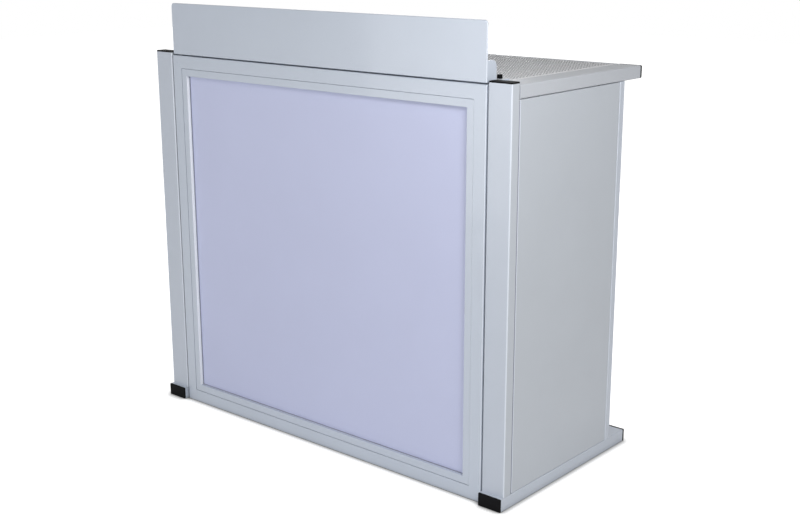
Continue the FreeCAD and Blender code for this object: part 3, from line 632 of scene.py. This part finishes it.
class BOOTH_OT_table_sheet(bpy.types.Operator):
    """Make the perforated sheet of the table, with its edges folded down"""
    bl_idname = "booth.table_sheet"
    bl_label = "Perforated sheet"

    def execute(self, context):
        sizes = context.scene.booth_sizes
        low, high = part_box("table_sheet")
        size = high - low
        row_depth = sizes.hole_pitch * ROW_DEPTH
        columns = int((size.x - 2 * sizes.sheet_margin) / sizes.hole_pitch)
        pairs = int((size.y - 2 * sizes.sheet_margin) / row_depth / 2)
        if columns < 2 or pairs < 1:
            raise RuntimeError("the table sheet is too small for its holes")
        work = bmesh.new()
        self.field(work, sizes, row_depth, columns, pairs)
        half = Vector((columns * sizes.hole_pitch / 2, pairs * row_depth, 0))
        bmesh.ops.translate(work, vec=-half, verts=work.verts)
        bmesh.ops.remove_doubles(work, verts=work.verts, dist=WELD_DISTANCE)
        self.fold(work, half, size / 2, size.z, sizes.sheet_bend)
        bmesh.ops.recalc_face_normals(work, faces=work.faces)
        if sum(face.normal.z for face in work.faces) < 0:
            bmesh.ops.reverse_faces(work, faces=work.faces)
        middle = Vector(((low.x + high.x) / 2, (low.y + high.y) / 2, high.z))
        bmesh.ops.translate(work, vec=middle, verts=work.verts)
        for side in SIDES:
            part = work.copy()
            other = [face for face in part.faces
                     if (face.calc_center_median().x >= 0) != (side == "right")]
            bmesh.ops.delete(part, geom=other, context="FACES")
            piece = new_piece(f"table_sheet.{side}", part, finish_of("table_sheet"), "table")
            wall = piece.modifiers.new("Thickness", "SOLIDIFY")
            wall.thickness = sizes.sheet_thickness
            wall.offset = -1
            wall.use_even_offset = True
            # Painted shade: the hole walls take a darker material
            piece.data.materials.append(material_of("hole_wall"))
            wall.material_offset_rim = 1
            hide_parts("table_sheet")
        work.free()
        return {"FINISHED"}

    def field(self, work, sizes, row_depth, columns, pairs):
        """Two staggered rows of holes, repeated over the sheet."""
        across = Vector((sizes.hole_pitch, 0, 0))
        back = Vector((0, row_depth, 0))
        cell = self.cell(work, sizes, row_depth)
        first = repeat(work, cell, columns, across)
        second = bmesh.ops.duplicate(work, geom=cell)["geom"]
        bmesh.ops.translate(work, vec=across / 2 + back, verts=only(bmesh.types.BMVert, second))
        second = repeat(work, second, columns - 1, across)
        for x in (0, (columns - 0.5) * sizes.hole_pitch):
            plain = bmesh.ops.create_grid(work, x_segments=1, y_segments=1, size=0.5)["verts"]
            bmesh.ops.translate(work, vec=(0.5, 0.5, 0), verts=plain)
            bmesh.ops.scale(work, vec=(sizes.hole_pitch / 2, row_depth, 1), verts=plain)
            bmesh.ops.translate(work, vec=(x, row_depth, 0), verts=plain)
            edges = {edge for vert in plain for edge in vert.link_edges}
            faces = {face for vert in plain for face in vert.link_faces}
            second += [*plain, *edges, *faces]
        repeat(work, first + second, pairs, back * 2)

    def cell(self, work, sizes, row_depth):
        """One hole in its rectangle, with points halfway along its long edges for the next row."""
        rim = bmesh.ops.create_grid(work, x_segments=2, y_segments=1, size=0.5)["verts"]
        bmesh.ops.translate(work, vec=(0.5, 0.5, 0), verts=rim)
        bmesh.ops.scale(work, vec=(sizes.hole_pitch, row_depth, 1), verts=rim)
        inner = [edge for edge in work.edges if not edge.is_boundary]
        bmesh.ops.delete(work, geom=list(work.faces), context="FACES_ONLY")
        bmesh.ops.delete(work, geom=inner, context="EDGES")
        radius = sizes.hole_diameter / 2
        hole = bmesh.ops.create_circle(work, segments=sizes.hole_sides, radius=radius)["verts"]
        bmesh.ops.translate(work, vec=(sizes.hole_pitch / 2, row_depth / 2, 0), verts=hole)
        bmesh.ops.triangle_fill(work, use_beauty=True, edges=list(work.edges))
        return [*work.verts, *work.edges, *work.faces]

    def fold(self, work, field_half, sheet_half, depth, radius):
        """Plain border round the holes, a rounded bend and the lip below it."""
        edges = [edge for edge in work.edges if edge.is_boundary and self.on_border(edge, field_half)]
        rings = [(radius, 0)]
        for index in range(1, BEND_STEPS + 1):
            angle = math.pi / 2 * index / BEND_STEPS
            rings.append((radius * (1 - math.sin(angle)), radius * (1 - math.cos(angle))))
        rings.append((0, depth))
        now = Vector(field_half)
        for inset, drop in rings:
            made = bmesh.ops.extrude_edge_only(work, edges=edges)["geom"]
            verts = only(bmesh.types.BMVert, made)
            edges = only(bmesh.types.BMEdge, made)
            target = Vector((sheet_half.x - inset, sheet_half.y - inset, 0))
            bmesh.ops.scale(work, vec=(target.x / now.x, target.y / now.y, 1), verts=verts)
            for vert in verts:
                vert.co.z = -drop
            now = target

    def on_border(self, edge, half):
        """Whether an edge lies on the outline of the field of holes."""
        middle = (edge.verts[0].co + edge.verts[1].co) / 2
        return abs(abs(middle.x) - half.x) < WELD_DISTANCE or abs(abs(middle.y) - half.y) < WELD_DISTANCE


class BOOTH_OT_rivets(bpy.types.Operator):
    """Make the domed hinge rivets"""
    bl_idname = "booth.rivets"
    bl_label = "Rivets"

    def execute(self, context):
        dimple = context.scene.booth_sizes.rivet_dimple
        for side in SIDES:
            for kind in ("frame", "wing"):
                node = f"{side}_{kind}_rivets"
                work = bmesh.new()
                for low, high in islands(node):
                    self.rivet(work, low, high, dimple)
                piece = new_piece(f"{node}.domed", work, finish_of(node), BODY_OF[node])
                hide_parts(node)
        return {"FINISHED"}

    def rivet(self, work, low, high, dimple):
        """Domed head with the hollow that its drawn mandrel leaves, turned about the rivet's own line."""
        middle = Vector(((low.x + high.x) / 2, high.y, (low.z + high.z) / 2))
        radius = (high.x - low.x) / 2
        height = radius * HEAD_HEIGHT
        rim = [(0, -DIMPLE_DEPTH), (dimple * DIMPLE_FLOOR, -DIMPLE_DEPTH), (dimple, -DIMPLE_LIP)]
        for index in range(1, DOME_STEPS + 1):
            angle = math.pi / 2 * index / DOME_STEPS
            rim.append((dimple + (radius - dimple) * math.sin(angle), math.cos(angle) - 1))
        rim.append((0, -1))
        points = [Vector((x, y * height, 0)) for x, y in rim]
        verts = [work.verts.new(middle + point) for point in points]
        edges = [work.edges.new(pair) for pair in zip(verts, verts[1:])]
        bmesh.ops.spin(work, geom=[*verts, *edges], cent=middle, axis=(0, 1, 0), dvec=(0, 0, 0),
                       angle=2 * math.pi, steps=TURN_STEPS, use_merge=True)
        bmesh.ops.remove_doubles(work, verts=work.verts, dist=WELD_DISTANCE)
        bmesh.ops.recalc_face_normals(work, faces=work.faces)


class BOOTH_OT_stage(bpy.types.Operator):
    """Set up the floor, the lamps, the surroundings and the camera"""
    bl_idname = "booth.stage"
    bl_label = "Stage"

    def execute(self, context):
        stage = context.scene.booth_stage
        self.floor(context.scene, stage)
        self.world(context.scene, stage)
        for name in ("key", "near", "sheen", "front", "side", "rear"):
            place, size, watts = (getattr(stage, f"{name}_{kind}") for kind in ("place", "size", "power"))
            self.lamp(context.scene, name, Vector(place), Vector(stage.aim), size, watts)
        self.camera(context.scene, stage)
        context.scene.view_settings.view_transform = "Standard"
        return {"FINISHED"}

    def seen(self, tree):
        """1 for the camera, for reflections and through glass, and 0 where light is gathered."""
        path = add_node(tree, "ShaderNodeLightPath")
        first = add_node(tree, "ShaderNodeMath", operation="MAXIMUM")
        second = add_node(tree, "ShaderNodeMath", operation="MAXIMUM")
        tree.links.new(path.outputs["Is Camera Ray"], first.inputs[0])
        tree.links.new(path.outputs["Is Glossy Ray"], first.inputs[1])
        tree.links.new(first.outputs[0], second.inputs[0])
        tree.links.new(path.outputs["Is Transmission Ray"], second.inputs[1])
        return second.outputs[0]

    def floor(self, scene, stage):
        """Pale floor that is white away from the booth, with a painted contact shadow where the booth meets it."""
        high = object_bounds()[1]
        work = bmesh.new()
        bmesh.ops.create_grid(work, x_segments=1, y_segments=1, size=FLOOR_REACH)
        mesh = bpy.data.meshes.new("floor")
        work.to_mesh(mesh)
        work.free()
        thing = bpy.data.objects.new("floor", mesh)
        scene.collection.objects.link(thing)
        material, tree, shader = new_material("pale_floor")
        shader.inputs["Roughness"].default_value = 0.9
        shader.inputs["Specular IOR Level"].default_value = 0.0
        where = add_node(tree, "ShaderNodeTexCoord")
        size = add_node(tree, "ShaderNodeVectorMath", operation="ABSOLUTE")
        past = add_node(tree, "ShaderNodeVectorMath", {1: (high.x, high.y, 0)}, operation="SUBTRACT")
        outside = add_node(tree, "ShaderNodeVectorMath", {1: (0, 0, 0)}, operation="MAXIMUM")
        far = add_node(tree, "ShaderNodeVectorMath", operation="LENGTH")
        rise = add_node(tree, "ShaderNodeMapRange", {"From Max": stage.glow_reach, "To Min": stage.near_glow,
                                                     "To Max": 1.0}, interpolation_type="SMOOTHSTEP")
        # Painted contact shadow: occlusion near the booth darkens the floor's colour and its glow
        contact_occlusion = add_node(tree, "ShaderNodeAmbientOcclusion", {"Distance": stage.contact_shade_reach})
        deep = add_node(tree, "ShaderNodeMath", {1: CONTACT_SHADE_DEPTH}, operation="POWER")
        shaded = add_node(tree, "ShaderNodeMath", operation="MULTIPLY")
        tone = add_node(tree, "ShaderNodeMix", {"Factor": 1.0, "A": (*stage.floor, 1)}, data_type="RGBA",
                        blend_type="MULTIPLY")
        glow = add_node(tree, "ShaderNodeEmission")
        both = add_node(tree, "ShaderNodeAddShader")
        pick = add_node(tree, "ShaderNodeMixShader")
        out = tree.nodes["Material Output"]
        link = tree.links.new
        link(where.outputs["Object"], size.inputs[0])
        link(size.outputs["Vector"], past.inputs[0])
        link(past.outputs["Vector"], outside.inputs[0])
        link(outside.outputs["Vector"], far.inputs[0])
        link(far.outputs["Value"], rise.inputs["Value"])
        link(contact_occlusion.outputs["AO"], deep.inputs[0])
        link(deep.outputs[0], shaded.inputs[0])
        link(rise.outputs["Result"], shaded.inputs[1])
        link(deep.outputs[0], tone.inputs["B"])
        link(tone.outputs["Result"], shader.inputs["Base Color"])
        link(shaded.outputs[0], glow.inputs["Strength"])
        link(shader.outputs[0], both.inputs[0])
        link(glow.outputs[0], both.inputs[1])
        link(self.seen(tree), pick.inputs[0])
        link(shader.outputs[0], pick.inputs[1])
        link(both.outputs[0], pick.inputs[2])
        link(pick.outputs[0], out.inputs["Surface"])
        mesh.materials.append(material)
        thing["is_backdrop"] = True

    def world(self, scene, stage):
        """White where it is seen, and a soft light on the booth."""
        world = bpy.data.worlds.new("studio")
        world.use_nodes = True
        tree = world.node_tree
        tree.nodes.clear()
        link = tree.links.new
        soft = add_node(tree, "ShaderNodeBackground", {"Color": (1, 1, 1, 1), "Strength": stage.ambient})
        white = add_node(tree, "ShaderNodeBackground", {"Color": (1, 1, 1, 1), "Strength": 1.0})
        pick = add_node(tree, "ShaderNodeMixShader")
        out = add_node(tree, "ShaderNodeOutputWorld")
        link(self.seen(tree), pick.inputs[0])
        link(soft.outputs[0], pick.inputs[1])
        link(white.outputs[0], pick.inputs[2])
        link(pick.outputs[0], out.inputs["Surface"])
        scene.world = world

    def lamp(self, scene, name, place, target, size, watts):
        """Square lamp that faces a target."""
        light = bpy.data.lights.new(name, "AREA")
        light.size = size
        light.energy = watts
        thing = bpy.data.objects.new(name, light)
        thing.location = place
        thing.rotation_euler = (target - place).to_track_quat("-Z", "Y").to_euler()
        scene.collection.objects.link(thing)

    def camera(self, scene, stage):
        """Camera at the photograph's viewing angle."""
        azimuth = stage.camera_azimuth
        elevation = stage.camera_elevation
        ahead = Vector((-math.sin(azimuth) * math.cos(elevation),
                        math.cos(azimuth) * math.cos(elevation),
                        -math.sin(elevation)))
        right = Vector((math.cos(azimuth), math.sin(azimuth), 0))
        up = right.cross(ahead)
        turn = Matrix((right, up, -ahead)).transposed()
        lens = bpy.data.cameras.new("camera")
        lens.lens = stage.lens
        lens.sensor_width = SENSOR_WIDTH
        lens.sensor_fit = "HORIZONTAL"
        lens.clip_end = CLIP_END
        thing = bpy.data.objects.new("camera", lens)
        thing.matrix_world = (Matrix.Translation(stage.camera_place) @ turn.to_4x4()
                              @ Matrix.Rotation(stage.camera_roll, 4, "Z"))
        scene.collection.objects.link(thing)
        scene.camera = thing


class BOOTH_PT_panel(bpy.types.Panel):
    """Booth's settings and steps in the sidebar"""
    bl_idname = "BOOTH_PT_panel"
    bl_label = "DJ Booth"
    bl_space_type = "VIEW_3D"
    bl_region_type = "UI"
    bl_category = "Booth"

    def draw(self, context):
        for step in STEPS:
            self.layout.operator(step.bl_idname)
        for group in (context.scene.booth_finishes, context.scene.booth_sizes, context.scene.booth_stage):
            column = self.layout.column(align=True)
            for name in group.__annotations__:
                column.prop(group, name)


STEPS = (
    BOOTH_OT_finishes,
    BOOTH_OT_soft_edges,
    BOOTH_OT_side_panels,
    BOOTH_OT_rear_caps,
    BOOTH_OT_bezels,
    BOOTH_OT_gasket,
    BOOTH_OT_table_sheet,
    BOOTH_OT_rivets,
    BOOTH_OT_stage,
)
GROUPS = {"booth_finishes": BoothFinishes, "booth_sizes": BoothSizes, "booth_stage": BoothStage}
CLASSES = (*GROUPS.values(), *STEPS, BOOTH_PT_panel)


def register():
    for item in CLASSES:
        bpy.utils.register_class(item)
    for name, group in GROUPS.items():
        setattr(bpy.types.Scene, name, PointerProperty(type=group))


def unregister():
    for name in GROUPS:
        delattr(bpy.types.Scene, name)
    for item in reversed(CLASSES):
        bpy.utils.unregister_class(item)


def main():
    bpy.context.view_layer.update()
    register()
    bpy.ops.booth.finishes()
    bpy.ops.booth.soft_edges()
    bpy.ops.booth.side_panels()
    bpy.ops.booth.rear_caps()
    bpy.ops.booth.bezels()
    bpy.ops.booth.gasket()
    bpy.ops.booth.table_sheet()
    bpy.ops.booth.rivets()
    bpy.ops.booth.stage()


if __name__ == "__main__":
    main()
